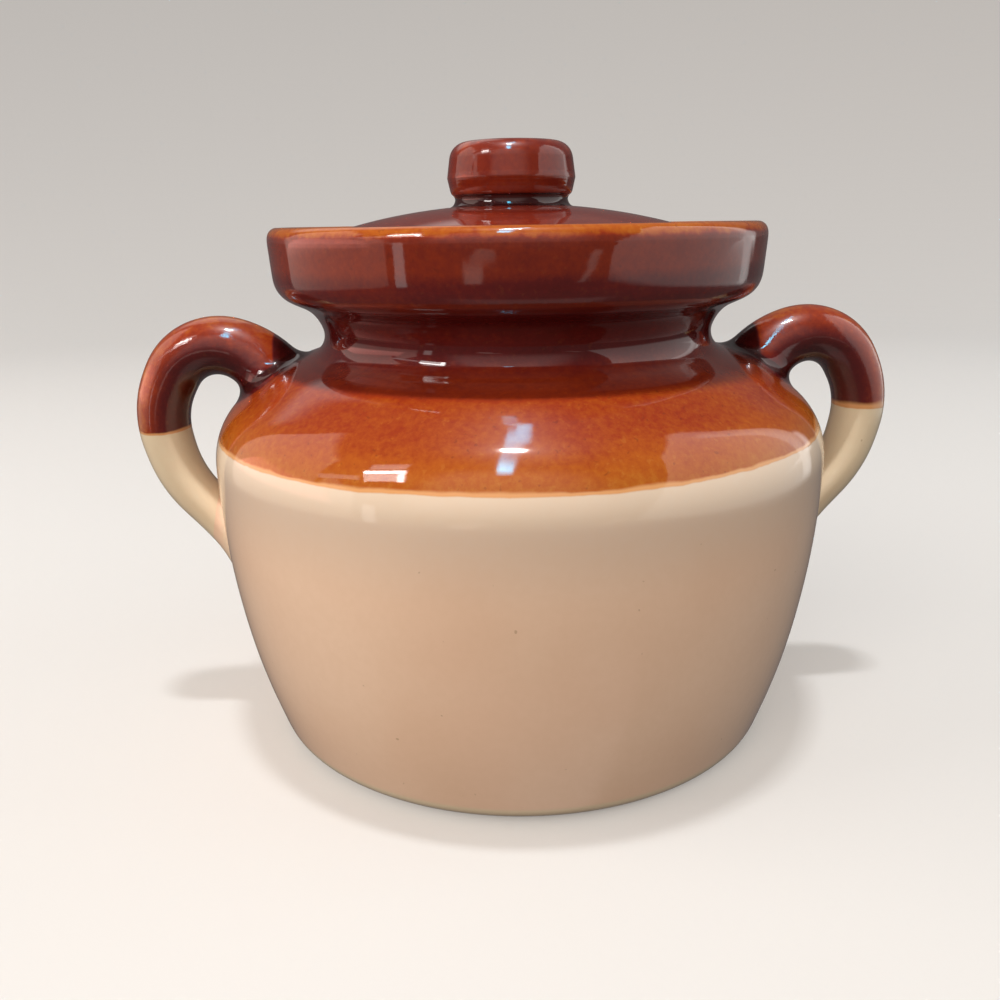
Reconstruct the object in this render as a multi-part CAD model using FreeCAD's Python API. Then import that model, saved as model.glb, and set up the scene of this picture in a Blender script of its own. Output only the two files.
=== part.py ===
import FreeCAD, Part
import math
import os

# Two-handled stoneware bean pot with a loose lid that sits inside its collar.
# Millimetres, +Z up. The origin is the centre of the flat base, and the handles
# lie along X. Every round piece is a profile in the XZ plane, turned about Z.

# ---- Pot, outside: where its sides would meet, and how each corner is rounded ----
foot_radius = 78.0
foot_rounding = 6.0
flare_radius = 86.2  # the lower wall leans less above this corner
flare_height = 25.2
flare_rounding = 205.0
belly_radius = 92.5
belly_height = 62.7
belly_rounding = 265.0
shoulder_height = 99.4
shoulder_rounding = 22.2
neck_radius = 55.5
neck_rise = 18.2  # above the shoulder's corner
neck_rounding = 6.1
cove_overhang = 5.8  # out from the neck, where its hollow meets the collar's underside
cove_rise = 10.7  # above the neck's corner
cove_rounding = 9.6
collar_radius = 71.7  # the collar's lower corner
collar_rise = 4.4  # above the cove's corner
collar_rounding = 7.4
collar_depth = 19.2  # from that corner up to the rim
rim_flare = 1.4  # the rim stands out this much further than the lower corner
rim_rounding = 3.2

# ---- Pot, inside ----
wall = 6.5
base_thickness = 8.0
floor_rounding = 10.0
inner_flare_rounding = 150.0
neck_wall = 4.0  # from the throat out to the neck's corner, before its rounding
throat_rounding = 12.0
throat_edge_rounding = 2.0
seat_depth = 13.0  # the lid's seat lies this far below the rim
seat_corner_rounding = 1.5
collar_wall = 5.6  # at the rim
recess_taper = 0.6  # the lid's recess is this much narrower at the seat
rim_inner_rounding = 1.8

# ---- Underside: a raised disc leaves a ring to stand on ----
foot_ring_width = 16.0
foot_ring_depth = 1.2
foot_ring_slope = 2.5

# ---- Lid: a shallow dome whose flat edge rests on the seat ----
lid_play = 2.0  # between the lid's edge and the recess, all round
lid_rest_shift = -1.3  # the lid lies a little to one side in its play
lid_edge_thickness = 7.0
lid_edge_rounding = 2.4
lid_rise = 18.4  # from the seat to the dome's crown
lid_thickness = 6.5
lid_bearing_width = 9.0  # the flat ring that meets the seat
lid_inner_rounding = 3.0
dome_share = 0.93  # the dome's arc takes this share of its corner

# ---- Knob: a flattened button, luted to the crown of the lid ----
knob_height = 17.6
knob_crown = 0.6
knob_top_radius = 16.0
knob_top_rounding = 5.5
knob_radius = 18.5
knob_widest_height = 9.8
knob_side_rounding = 8.0
knob_waist_radius = 16.3
knob_waist_height = 1.4
knob_waist_rounding = 4.0
knob_foot_radius = 18.6
knob_foot_drop = 1.6  # the foot reaches this far below the crown, into the dome

# ---- Handles: a tapering oval limb, from the shoulder out and down to the belly ----
# The centre line's first three points are measured from the shoulder's corner, along its
# slope and square to it. The next two are measured out and down from that corner.
root_reach = 21.1
root_depth = 15.1  # the limb starts this far under the slope
rise_reach = 18.4
rise_height = 7.8
rise_rounding = 20.0
arch_reach = 3.8
arch_height = 22.7
arch_rounding = 16.0
tip_out = 18.6
tip_drop = 1.2
tip_rounding = 27.0
turn_out = 14.1
turn_drop = 22.2
turn_rounding = 36.0
tail_drop = 54.9
tail_depth = 10.3  # the limb ends this far inside the belly's side
root_thickness = 20.0
tail_thickness = 11.2
root_width = 22.0
tail_width = 17.0
root_swell = 5.0  # added to half the thickness where the limb starts, inside the shoulder
root_spread = 11.0  # added to half the width there
root_flare_length = 30.0
tail_swell = 4.0  # added to both where the limb ends, inside the belly
tail_flare_length = 30.0
handle_sections = 14  # how many ovals the limb is drawn through
section_step = 10  # points of the centre line from one oval to the next

tiny = 1e-6
up = FreeCAD.Vector(0, 0, 1)
across = FreeCAD.Vector(0, 1, 0)
seam_angle = 90.0  # degrees from +X to where a turned face closes on itself, clear of both handles
neck_height = shoulder_height + neck_rise
cove_radius = neck_radius + cove_overhang
cove_height = neck_height + cove_rise
collar_height = cove_height + collar_rise
rim_radius = collar_radius + rim_flare
rim_height = collar_height + collar_depth
throat_radius = neck_radius - neck_wall
seat_height = rim_height - seat_depth
recess_radius = rim_radius - collar_wall
lid_radius = recess_radius - recess_taper - lid_play
crown_height = seat_height + lid_rise


def at(x, z):
    """A point in the XZ plane."""
    return FreeCAD.Vector(x, 0, z)


def directions(corners, i):
    """Unit vectors from a corner to the one before it and the one after it."""
    before, point, after = [at(*corner[:2]) for corner in corners[i - 1 : i + 2]]
    return (before - point).normalize(), (after - point).normalize()


def fitted_roundings(corners):
    """Each corner's half turn and radius. Two roundings too large for their side share it."""
    half_turns = [0.0] * len(corners)
    reaches = [0.0] * len(corners)
    for i in range(1, len(corners) - 1):
        back, ahead = directions(corners, i)
        half_turns[i] = (math.pi - back.getAngle(ahead)) / 2
        reaches[i] = corners[i][2] * math.tan(half_turns[i])
    shares = [1.0] * len(corners)
    for i in range(len(corners) - 1):
        side = math.dist(corners[i][:2], corners[i + 1][:2])
        wanted = reaches[i] + reaches[i + 1]
        if wanted > side:
            shares[i] = min(shares[i], side / wanted)
            shares[i + 1] = min(shares[i + 1], side / wanted)
    radii = [corner[2] * share for corner, share in zip(corners, shares)]
    return half_turns, radii


def rounded_edges(corners):
    """Lines through the corners (x, z, rounding), with a tangent arc at each rounded one."""
    corners = [corner if len(corner) == 3 else corner + (0,) for corner in corners]
    half_turns, radii = fitted_roundings(corners)
    edges = []
    here = at(*corners[0][:2])
    for i in range(1, len(corners)):
        point = at(*corners[i][:2])
        rounded = i < len(corners) - 1 and radii[i] * math.tan(half_turns[i]) > tiny
        reach = radii[i] * math.tan(half_turns[i]) if rounded else 0.0
        arc_start = point + (here - point).normalize() * reach
        if here.distanceToPoint(arc_start) > tiny:
            edges.append(Part.LineSegment(here, arc_start).toShape())
        here = arc_start
        if rounded:
            back, ahead = directions(corners, i)
            bulge = radii[i] * (1 / math.cos(half_turns[i]) - 1)
            middle = point + (back + ahead).normalize() * bulge
            here = point + ahead * reach
            edges.append(Part.Arc(arc_start, middle, here).toShape())
    return edges


def turned(corners):
    """The solid made by turning a profile about Z. It starts and ends on the axis."""
    edges = rounded_edges(corners)
    first, last = at(*corners[0][:2]), at(*corners[-1][:2])
    edges.append(Part.LineSegment(last, first).toShape())
    solid = Part.Face(Part.Wire(edges)).revolve(FreeCAD.Vector(), up, 360)
    solid.rotate(FreeCAD.Vector(), up, seam_angle)
    return solid


def outside_corners():
    """The pot's outside, from the foot up to the rim."""
    return [
        (foot_radius, 0, foot_rounding),
        (flare_radius, flare_height, flare_rounding),
        (belly_radius, belly_height, belly_rounding),
        (belly_radius, shoulder_height, shoulder_rounding),
        (neck_radius, neck_height, neck_rounding),
        (cove_radius, cove_height, cove_rounding),
        (collar_radius, collar_height, collar_rounding),
        (rim_radius, rim_height, rim_rounding),
    ]


def moved_inwards(start, end):
    """The line from start to end, moved by the wall's thickness towards the inside."""
    length = math.dist(start, end)
    dx = -(end[1] - start[1]) / length * wall
    dz = (end[0] - start[0]) / length * wall
    return (start[0] + dx, start[1] + dz), (end[0] + dx, end[1] + dz)


def crossing(first, second):
    """Where two lines cross, each given by two of its points."""
    (ax, az), (bx, bz) = first
    (cx, cz), (dx, dz) = second
    turn = (bx - ax) * (dz - cz) - (bz - az) * (dx - cx)
    share = ((cx - ax) * (dz - cz) - (cz - az) * (dx - cx)) / turn
    return ax + (bx - ax) * share, az + (bz - az) * share


def inside_corners():
    """The pot's inside, from the floor up to the throat. The wall has an even thickness."""
    outside = [corner[:2] for corner in outside_corners()]
    walls = [moved_inwards(a, b) for a, b in zip(outside[:4], outside[1:5])]
    floor = ((0, base_thickness), (belly_radius, base_thickness))
    throat = ((throat_radius, 0), (throat_radius, rim_height))
    lines = [floor] + walls + [throat]
    roundings = [
        floor_rounding,
        inner_flare_rounding,
        belly_rounding - wall,
        shoulder_rounding - wall,
        throat_rounding,
    ]
    return [crossing(a, b) + (r,) for a, b, r in zip(lines, lines[1:], roundings)]


def make_pot():
    """Base, belly, neck and collar, thrown as one piece of clay."""
    ring_inner = foot_radius - foot_ring_width
    underside = [
        (0, foot_ring_depth, 0),
        (ring_inner - foot_ring_slope, foot_ring_depth, foot_ring_slope),
        (ring_inner, 0, foot_ring_depth),
    ]
    recess = [
        (recess_radius, rim_height, rim_inner_rounding),
        (recess_radius - recess_taper, seat_height, seat_corner_rounding),
        (throat_radius, seat_height, throat_edge_rounding),
    ]
    inside = list(reversed(inside_corners()))
    return turned(underside + outside_corners() + recess + inside + [(0, base_thickness, 0)])


def dome_corner(radius, base_height, rise):
    """The one corner whose arc makes a dome of this radius and rise."""
    reach = (radius**2 + rise**2) / (2 * radius)
    rounding = (radius**2 + rise**2) / (2 * rise) * dome_share
    return (reach, base_height + rise, rounding)


def make_lid():
    """The domed lid, hollow below, lying in its recess."""
    edge_top = seat_height + lid_edge_thickness
    bearing_inner = lid_radius - lid_bearing_width
    hollow_height = crown_height - lid_thickness
    lid = turned(
        [
            (0, crown_height, 0),
            dome_corner(lid_radius, edge_top, crown_height - edge_top),
            (lid_radius, edge_top, lid_edge_rounding),
            (lid_radius, seat_height, lid_edge_rounding),
            (bearing_inner, seat_height, lid_inner_rounding),
            dome_corner(bearing_inner, seat_height, hollow_height - seat_height),
            (0, hollow_height, 0),
        ]
    )
    lid.translate(at(lid_rest_shift, 0))
    return lid


def make_knob(lid):
    """The button on the lid. Its foot is cut to the dome."""
    knob = turned(
        [
            (0, crown_height + knob_height, 0),
            (knob_top_radius, crown_height + knob_height - knob_crown, knob_top_rounding),
            (knob_radius, crown_height + knob_widest_height, knob_side_rounding),
            (knob_waist_radius, crown_height + knob_waist_height, knob_waist_rounding),
            (knob_foot_radius, crown_height - knob_foot_drop, 0),
            (0, crown_height - knob_foot_drop, 0),
        ]
    )
    knob.translate(at(lid_rest_shift, 0))
    return knob.cut(lid)


def fading(amount, share):
    """An amount that fades to nothing as its share of the way goes from 0 to 1."""
    return amount * max(0, 1 - share) ** 2


def handle_corners():
    """The corners of the handle's centre line, from inside the shoulder to inside the belly."""
    corner = at(belly_radius, shoulder_height)
    slope = (at(neck_radius, neck_height) - corner).normalize()
    square = slope.cross(across).normalize() * -1
    root = corner + slope * root_reach - square * root_depth
    rise = corner + slope * rise_reach + square * rise_height
    arch = corner + slope * arch_reach + square * arch_height
    tip = corner + at(tip_out, -tip_drop)
    turn = corner + at(turn_out, -turn_drop)
    tail_height = shoulder_height - tail_drop
    lean = (belly_radius - flare_radius) / (belly_height - flare_height)
    side_radius = flare_radius + (tail_height - flare_height) * lean
    return [
        (root.x, root.z, 0),
        (rise.x, rise.z, rise_rounding),
        (arch.x, arch.z, arch_rounding),
        (tip.x, tip.z, tip_rounding),
        (turn.x, turn.z, turn_rounding),
        (side_radius - tail_depth, tail_height, 0),
    ]


def oval(centre, side, back):
    """A closed ellipse in four quarters, from its side round by its back."""
    if side.Length >= back.Length:
        ellipse = Part.Ellipse(centre + side, centre + back, centre)
        first = 0
    else:
        ellipse = Part.Ellipse(centre + back, centre - side, centre)
        first = -1
    edges = []
    for quarter in range(first, first + 4):
        arc = Part.ArcOfEllipse(ellipse, quarter * math.pi / 2, (quarter + 1) * math.pi / 2)
        edges.append(arc.toShape())
    return Part.Wire(edges)


def make_handle(outside):
    """The handle on the +X side. Its two ends are cut to the pot's outside."""
    centre_line = Part.Wire(rounded_edges(handle_corners()))
    length = centre_line.Length
    points = centre_line.discretize(Number=section_step * (handle_sections - 1) + 1)
    sections = []
    for i in range(0, len(points), section_step):
        share = i / (len(points) - 1)
        at_root = share * length / root_flare_length
        at_tail = (1 - share) * length / tail_flare_length
        swell = fading(root_swell, at_root) + fading(tail_swell, at_tail)
        spread = fading(root_spread, at_root) + fading(tail_swell, at_tail)
        thickness = root_thickness + share * (tail_thickness - root_thickness)
        width = root_width + share * (tail_width - root_width)
        along = points[min(i + 1, len(points) - 1)] - points[max(i - 1, 0)]
        side = across * (width / 2 + spread)
        back = across.cross(along).normalize() * (thickness / 2 + swell)
        sections.append(oval(points[i], side, back))
    return Part.makeLoft(sections, True, False).cut(outside)


def main():
    pot = make_pot()
    outside = turned([(0, 0, 0)] + outside_corners() + [(0, rim_height, 0)])
    handle = make_handle(outside)
    lid = make_lid()
    nodes = {
        "pot": pot,
        "left_handle": handle.mirror(FreeCAD.Vector(), at(1, 0)),
        "right_handle": handle,
        "lid": lid,
        "knob": make_knob(lid),
    }
    os.makedirs("parts", exist_ok=True)
    for name, shape in nodes.items():
        shape.exportStep("parts/" + name + ".step")
        box = shape.BoundBox
        print(
            f"{name}: {len(shape.Solids)} solid, valid {shape.isValid()}, {shape.Volume / 1000:.1f} cm3,"
            f" X {box.XMin:.1f} {box.XMax:.1f}, Y {box.YMin:.1f} {box.YMax:.1f}, Z {box.ZMin:.1f} {box.ZMax:.1f}"
        )


main()
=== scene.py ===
import math

import bpy
import numpy as np
from mathutils import Euler, Matrix, Vector, noise


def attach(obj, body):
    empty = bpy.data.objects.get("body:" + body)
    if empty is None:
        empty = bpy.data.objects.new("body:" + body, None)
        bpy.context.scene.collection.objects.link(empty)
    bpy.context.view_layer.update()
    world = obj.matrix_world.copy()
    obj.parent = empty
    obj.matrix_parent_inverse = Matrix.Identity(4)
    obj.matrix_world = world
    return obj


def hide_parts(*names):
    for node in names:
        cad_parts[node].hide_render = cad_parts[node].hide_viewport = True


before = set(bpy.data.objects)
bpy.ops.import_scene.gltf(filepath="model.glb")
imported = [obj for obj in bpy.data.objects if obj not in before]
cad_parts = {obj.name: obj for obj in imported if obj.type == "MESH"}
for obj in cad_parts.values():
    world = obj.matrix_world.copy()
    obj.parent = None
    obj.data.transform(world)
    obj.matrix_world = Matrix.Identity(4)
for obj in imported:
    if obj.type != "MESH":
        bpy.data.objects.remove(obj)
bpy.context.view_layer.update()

# Looks of a two-handled stoneware bean pot with a loose domed lid. Sizes below are in
# millimetres, and meshes are made in metres. +Z is up and the handles lie along X.
mm = 0.001

# ---- Pot, outside: where its sides would meet, and how each corner is rounded ----
foot_radius = 78.0
foot_rounding = 6.0
flare_radius = 86.2
flare_height = 25.2
flare_rounding = 205.0
belly_radius = 92.5
belly_height = 62.7
belly_rounding = 265.0
root_height = 99.4  # the handles are measured from here
shoulder_height = root_height - 2.3
shoulder_rounding = 22.2
crest_radius = 71.0
crest_height = root_height + 12.9
crest_rounding = 28.0
neck_radius = 55.5
neck_height = root_height + 18.2
neck_rounding = 6.1
cove_radius = neck_radius + 5.8
cove_height = neck_height + 10.7
cove_rounding = 9.6
collar_radius = 71.7
collar_height = cove_height + 4.4
collar_rounding = 7.4
rim_radius = collar_radius + 1.4
rim_height = collar_height + 19.2
rim_rounding = 3.2

# ---- Pot, inside and underside ----
wall = 6.5
base_thickness = 8.0
floor_rounding = 10.0
inner_flare_rounding = 150.0
throat_radius = neck_radius - 4.0
throat_rounding = 12.0
throat_edge_rounding = 2.0
seat_height = rim_height - 13.0
seat_corner_rounding = 1.5
recess_radius = rim_radius - 5.6
recess_taper = 0.6
rim_inner_rounding = 1.8
standing_ring_width = 16.0
standing_ring_depth = 1.2
standing_ring_slope = 2.5
past_rim = 0.004  # the inside starts this share of the outline beyond the rim's top
ring_tolerance = 0.5
seat_tolerance = 0.4
seat_inner_margin = 2.0
seat_outer_margin = 1.5

# ---- Lid and knob ----
lid_shift = -1.3  # the lid lies a little to one side in its recess
lid_radius = recess_radius - recess_taper - 2.0
lid_edge_height = seat_height + 7.0
lid_edge_rounding = 2.4
crown_height = seat_height + 18.4
lid_thickness = 6.5
bearing_width = 9.0
bearing_tolerance = 0.6
lid_inner_rounding = 3.0
dome_share = 0.93
knob_crown_height = crown_height + 17.6
knob_crown = 0.35
knob_top_radius = 17.5
knob_top_rounding = 5.2
knob_lip_radius = 18.9
knob_lip_height = crown_height + 7.3
knob_lip_rounding = 0.7
knob_base_radius = 17.9
knob_base_height = crown_height + 2.8
knob_base_rounding = 0.9
knob_waist_radius = 16.2
knob_waist_height = crown_height + 2.0
knob_waist_rounding = 1.3
knob_foot_radius = 17.4
knob_foot_rounding = 1.5
knob_foot_depth = 1.6
knob_fillet = 2.0  # the glaze fills the corner between knob and dome
knob_fillet_height = 0.35
knob_edge_rounding = 0.3
knob_skirt_rounding = 0.2
knob_thick_margin = 1.2  # the coat stays thick up to this far above the lip

# ---- Handles ----
root_reach = 21.1
root_depth = 15.1
rise_reach = 18.4
rise_height = 7.8
rise_rounding = 20.0
arch_reach = 3.8
arch_height = 22.7
arch_rounding = 16.0
tip_out = 18.6
tip_drop = 1.2
tip_rounding = 27.0
turn_out = 14.1
turn_drop = 22.2
turn_rounding = 36.0
tail_drop = 54.9
tail_depth = 10.3
root_thickness = 20.0
tail_thickness = 11.2
root_width = 22.0
tail_width = 17.0
root_swell = 5.0
root_spread = 11.0
tail_swell = 4.0
flare_length = 30.0
root_blend = 5.5  # how far the luted clay reaches along the shoulder
tail_blend = 6.5
root_squeeze = 0.25  # less of it above and below the root
tail_middle = 0.62
tail_swing = 0.38
steepest_lean = 0.8
hollow_relief = 0.3
skirt = 0.04  # how far the blended edge dips under the pot's surface
skirt_steps = ((0.8, 1), (1.6, 3), (1.0, 25))  # how far out, and how many times as deep
side_middle = 0.7
side_swing = 0.3

# ---- Unevenness of the surface ----
glaze_unevenness = 0.12
broad_waves = 31.0
broad_share = 0.4
fine_waves = 11.0
fine_share = 0.16
even_height = 2.0  # up to here the foot stays even
uneven_rise = 4.0  # and over this height it grows uneven

# ---- Brown glaze: how thin it lies, from 0 to 1, by how sharply the surface bends, in 1/mm ----
flat_thinness = 0.43
ragged_noise = (2.6, 3)  # a noise has a wavelength in millimetres, a detail and maybe a roughness
patch_noise = (10, 2)
mottle_noise = (1.8, 4, 0.65)
cloud_noise = (26, 3)
edge_bend = (0.17, 0.33)
edge_thinness = 0.28
edge_raggedness = 0.20
edge_patchiness = 0.24
hollow_bend = (-0.05, -0.20)
hollow_thinness = -0.07
pool_bend = (-0.17, -0.27)
pool_thinness = -0.34
lid_thinness = -0.16
cloudiness = 0.20
broken_span = (0.20, 0.55)
mottling = (0.16, 0.32)
mottle_height = 0.25
brown_shades = (
    (0.00, (0.030, 0.004, 0.004, 1)),
    (0.20, (0.094, 0.0078, 0.007, 1)),
    (0.40, (0.235, 0.0265, 0.0048, 1)),
    (0.60, (0.345, 0.08, 0.007, 1)),
    (0.80, (0.43, 0.158, 0.018, 1)),
    (1.00, (0.54, 0.24, 0.045, 1)),
)
dark_speck = (0.090, 0.012, 0.005, 1)
dark_speck_share = 0.35
dark_speck_noise = (1.5, 1)
dark_speck_span = (0.68, 0.78)
pale_speck = (0.42, 0.16, 0.025, 1)
pale_speck_share = (0.04, 0.38)
pale_speck_noise = (1.6, 2)
pale_speck_span = (0.60, 0.74)
pale_speck_thinness = (0.30, 0.75)

# ---- Clear glaze on cream clay, and bare clay ----
cream = (0.800, 0.560, 0.405, 1)
pale_cream = (0.835, 0.610, 0.455, 1)
# Painted cool light: the cream turns greyer up towards the dip line, on the top of the belly.
painted_cool_light_cream = (0.640, 0.510, 0.405, 1)
cool_light_heights = (64 * mm, 92 * mm)
yellow_cream = (0.745, 0.635, 0.450, 1)
limb_bend = (0.02, 0.10)
limb_yellow = 0.9
cream_pool_bend = (-0.02, -0.25)
pool_yellow = 0.35
toasted_cream = (0.70, 0.48, 0.31, 1)
toasting = 0.10
iron_speck = (0.30, 0.17, 0.08, 1)
iron_speck_share = 0.4
iron_speck_noise = (1.7, 0)
iron_speck_span = (0.86, 0.90)
clay_noise = (48, 2)
fine_noise = (2.4, 3)
grain_noise = (0.9, 4, 0.7)
patchy = (0.3, 0.7)
cream_height = 0.12
bare_clay = (0.42, 0.30, 0.19, 1)
pale_bare_clay = (0.60, 0.47, 0.33, 1)

# ---- Dip line: spans are heights above it in millimetres, or as said ----
dip_height = 93.7  # the brown glaze starts here
dip_tilt = 0.010  # and the line rises a little to the right
dip_waves = 1.4
dip_ripples = 0.7
wave_noise = (34, 1)
dip_ripple_noise = (5.5, 3)
border_noise = (14, 2)
dip_softness = (-0.30, 0.15)
ochre = (0.63, 0.31, 0.125, 1)
least_border = 0.05
border_width = 1.5
border_fade = (0.45, 1.45)  # in widths of the border
wiped_span = (94 * mm, 104 * mm)  # along X, on the right handle
wiped_border = 1.4
fresh_height = 14.0
fresh_thinness = 0.21
fresh_on_limb = 0.2
# Painted shadow: the coat darkens along the edge of the collar's shadow on the shoulder.
collar_shadow_span = (17.4, 18.8)
collar_shadow_coat = 0.12
# From the neck up the coat is darker: partly a darker glaze, partly painted shade under the collar.
neck_glaze_and_shade_span = (23.0, 28.0)
neck_glaze_and_shade_coat = 0.10
# High on the collar the coat is lighter, so the collar's lower edge keeps a painted half-shadow.
collar_light_span = (44.5, 48.0)
painted_collar_light = 0.11
collar_shadow_root_edge = (73.3 * mm, 74.3 * mm)  # nearer the axis than this the handles' roots are darkened: a painted shadow of the collar
painted_root_shadow = 0.22
limb_start = (0.0, 0.1)  # by the limb attribute, like the next one
# Painted shade: the handles' inner sides are darkened.
inner_shade_span = (0.55, 0.95)
inner_shade_thinness = -0.30

# ---- Gloss and bumps ----
glaze_ior = 1.52
glaze_roughness = (0.035, 0.07)
smear_noise = (15, 3)
smear_span = (0.3, 0.8)
bare_span = (0.35, 0.65)
bare_roughness = 0.8
coat_weight = 0.10
coat_roughness = 0.34
pebbled_from = (0.05, 0.12)
pebbled_until = (0.30, 0.22)
pebbled_coat = 0.22
pebble_height = 1.5
pebble_noise = (1.1, 3, 0.6)
ripple_height = 0.5
ripple_noise = (7.0, 2)
grain_height = 1.5
bump_strength = 0.6
bump_distance = 0.04

# ---- Studio: the sweep and the camera in millimetres, and the rest in metres ----
sweep_radius = 2600.0
sweep_rounding = 1500.0
sweep_height = 2600.0
sweep_step = 40
sweep_sides = 96
floor_finish = {
    "Base Color": (0.62, 0.618, 0.612, 1),
    "Roughness": 0.8,
    "Specular IOR Level": 0.2,
    "Emission Color": (1.0, 0.99, 0.975, 1),
    "Emission Strength": 0.17,
}
world_span = (-0.45, 0.35)
world_below = (0.12, 0.095, 0.080, 1)
world_above = (0.44, 0.395, 0.36, 1)
world_seen = (0.80, 0.80, 0.79, 1)
world_mirrored = (0.13, 0.115, 0.115, 1)
camera_lens = 33.12
camera_sensor = 36
camera_tilt = 73.2
camera_turn = -3.1
camera_roll = -0.865
camera_place = (-21.5, -285.65, 152.2)
overhead = (-0.05, -0.17, 2.1)
keys = (  # name, place, aim, size, power, tint, and True where the glaze mirrors it
    ("key", overhead, (0, 0, 0.1), (0.16, 0.06), 38, (0.97, 0.98, 1.0), True),
    ("key_floor", overhead, (0, 0, 0), (0.22, 0.10), 15, (1, 1, 1)),
)
fill_aim = (0, 0, 0.08)
fill_size = (1.0, 0.8)
fills = (  # name, place, power, tint
    ("front fill", (-0.45, -1.1, 0.70), 9.9, (1, 0.89, 0.78)),
    ("left fill", (-1.35, -0.1, 0.55), 9.8, (1, 0.94, 0.87)),
    ("right fill", (1.4, 0.0, 0.55), 5.0, (0.86, 0.96, 1.0)),
)

# ---- Cards: name, corners by azimuth and elevation, metres away, tint, two strengths, softness ----
card_centre_height = 0.12
warm_grey = (1.0, 0.80, 0.72, 1)
pink_grey = (1.0, 0.78, 0.74, 1)
grey = (1, 0.97, 0.95, 1)
pale_blue = (0.12, 0.68, 1, 1)
rosy = (1.0, 0.48, 0.42, 1)
room_cards = (
    ("left_wall", [(-124, -15), (-73, -15), (-83, 40), (-120, 51)], 1.1, warm_grey, 0.60, 1.65),
    ("left_wall_corner", [(-75, -15), (-60, -13), (-61, 12), (-77, 29)], 1.12, warm_grey, 0.6, 1.3),
    ("right_wall", [(33, -12), (121, -15), (106, 57), (67, 50)], 1.1, grey, 0.80, 1.75),
    ("right_wall_end", [(105, -14), (120, -14), (107, 50), (96, 50)], 0.95, grey, 1.4, 2.4, 0.3),
    ("left_low", [(-124, -4), (-66, -4), (-72, 14), (-124, 14)], 1.0, rosy, 3.2, 2.4, 0.05, 0.25),
    ("right_low", [(40, -4), (124, -4), (120, 14), (46, 14)], 1.0, grey, 2.0, 1.6, 0.05, 0.25),
    ("table", [(-60, -75), (60, -75), (45, -29), (-45, -29)], 1.0, pink_grey, 0.5, 0.45, 0.3, 0.2),
    ("left_backdrop", [(-180, 22), (-130, 22), (-130, 58), (-180, 58)], 1.2, grey, 0.8, 0.8, 0.12, 0.2),
    ("right_backdrop", [(126, 16), (180, 16), (180, 55), (126, 55)], 1.2, grey, 0.18, 0.18, 0.12, 0.2),
    ("front_room", [(-46, -8), (34, -8), (34, 54), (-46, 54)], 1.3, pink_grey, 0.45, 1.35, 0.3, 0.3),
    ("ceiling_glow", [(-25, 46), (25, 46), (125, 60), (-125, 60)], 1.5, pink_grey, 0.6, 0.6, 0.5, 0.45),
    ("left_chair", [(-26, -13), (-18, -13), (-17, -9), (-27, -8.5)], 1.2, warm_grey, 1.1, 1.3, 0.15),
    ("left_chair_arm", [(-25, -9), (-11, -9), (-12, -6.5), (-20, -6)], 1.2, warm_grey, 0.9, 0.9, 0.2, 0.2),
    ("right_chair", [(20, -12.5), (23, -12), (32, -6.5), (28, -6.5)], 1.2, warm_grey, 0.9, 1.1, 0.1),
    ("left_strip", [(-56.5, -14), (-51.5, -14), (-51.5, 4), (-56.5, 4)], 1.0, grey, 1.8, 1.8),
)
strip = [(-14.7, 48), (-6.3, 49), (148, 84.6), (-151, 84.8)]
strip_end = [(-68, 86.9), (68, 86.9), (153, 79), (161, 79.6)]
ceiling_cards = (
    ("lamp_line", [(-126.5, 65), (-127.5, 65), (-129, 71), (-128, 71)], 1.2, warm_grey, 24, 24),
    ("ceiling_strip", strip, 1.4, pale_blue, 36, 40, 0.22, 0.06),
    ("ceiling_strip_end", strip_end, 1.4, pale_blue, 34, 26, 0.22, 0.1),
)

# ---- The window's parts: left, right, low and high as shares of it, strengths and softness ----
window = [(-61, 25), (-47, 32), (-53, 45), (-67, 36)]
window_distance = 1.0
window_parts = (
    ("window_bar", (0.0, 1.0, 0.66, 1.0), 34, 34, 0.02, 0.2),
    ("window_stub", (0.82, 1.0, 0.0, 0.68), 28, 28, 0.1, 0.04),
    ("window_edge", (0.0, 0.07, 0.0, 0.68), 8, 8, 0.1, 0.04),
    ("window_pane", (0.07, 0.82, 0.05, 0.68), 8, 8),
    ("window_blind", (0.10, 0.95, 1.08, 1.6), 4.0, 2.5),
    ("window_sill", (-1.2, -0.05, 0.15, 0.55), 2.2, 1.6, 0.1, 0.1),
)

# ---- Fineness of the meshes ----
drawn_step = 0.5
body_softening = 14
knob_softening = 2
longest_step = 2.6
largest_turn = math.radians(4)
turned_steps = 240
limb_sides = 88
limb_rings = 84
limb_relief = 0.145
limb_relief_swing = 0.07
thick_relief = 0.19
blend_rings = 12
halvings = 26
merge_distance = 0.002
tiny = 1e-6
batch = 4096


# ==== Outlines ====


def directions(corners, i):
    """Unit vectors from a corner to the one before it and the one after it."""
    before, point, after = [np.array(corner[:2], float) for corner in corners[i - 1 : i + 2]]
    back = before - point
    ahead = after - point
    return back / np.hypot(*back), ahead / np.hypot(*ahead)


def straight(start, end, step):
    """Points from start up to end, about a step apart."""
    count = max(1, round(math.dist(start, end) / step))
    return [start + (end - start) * i / count for i in range(count)]


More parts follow.
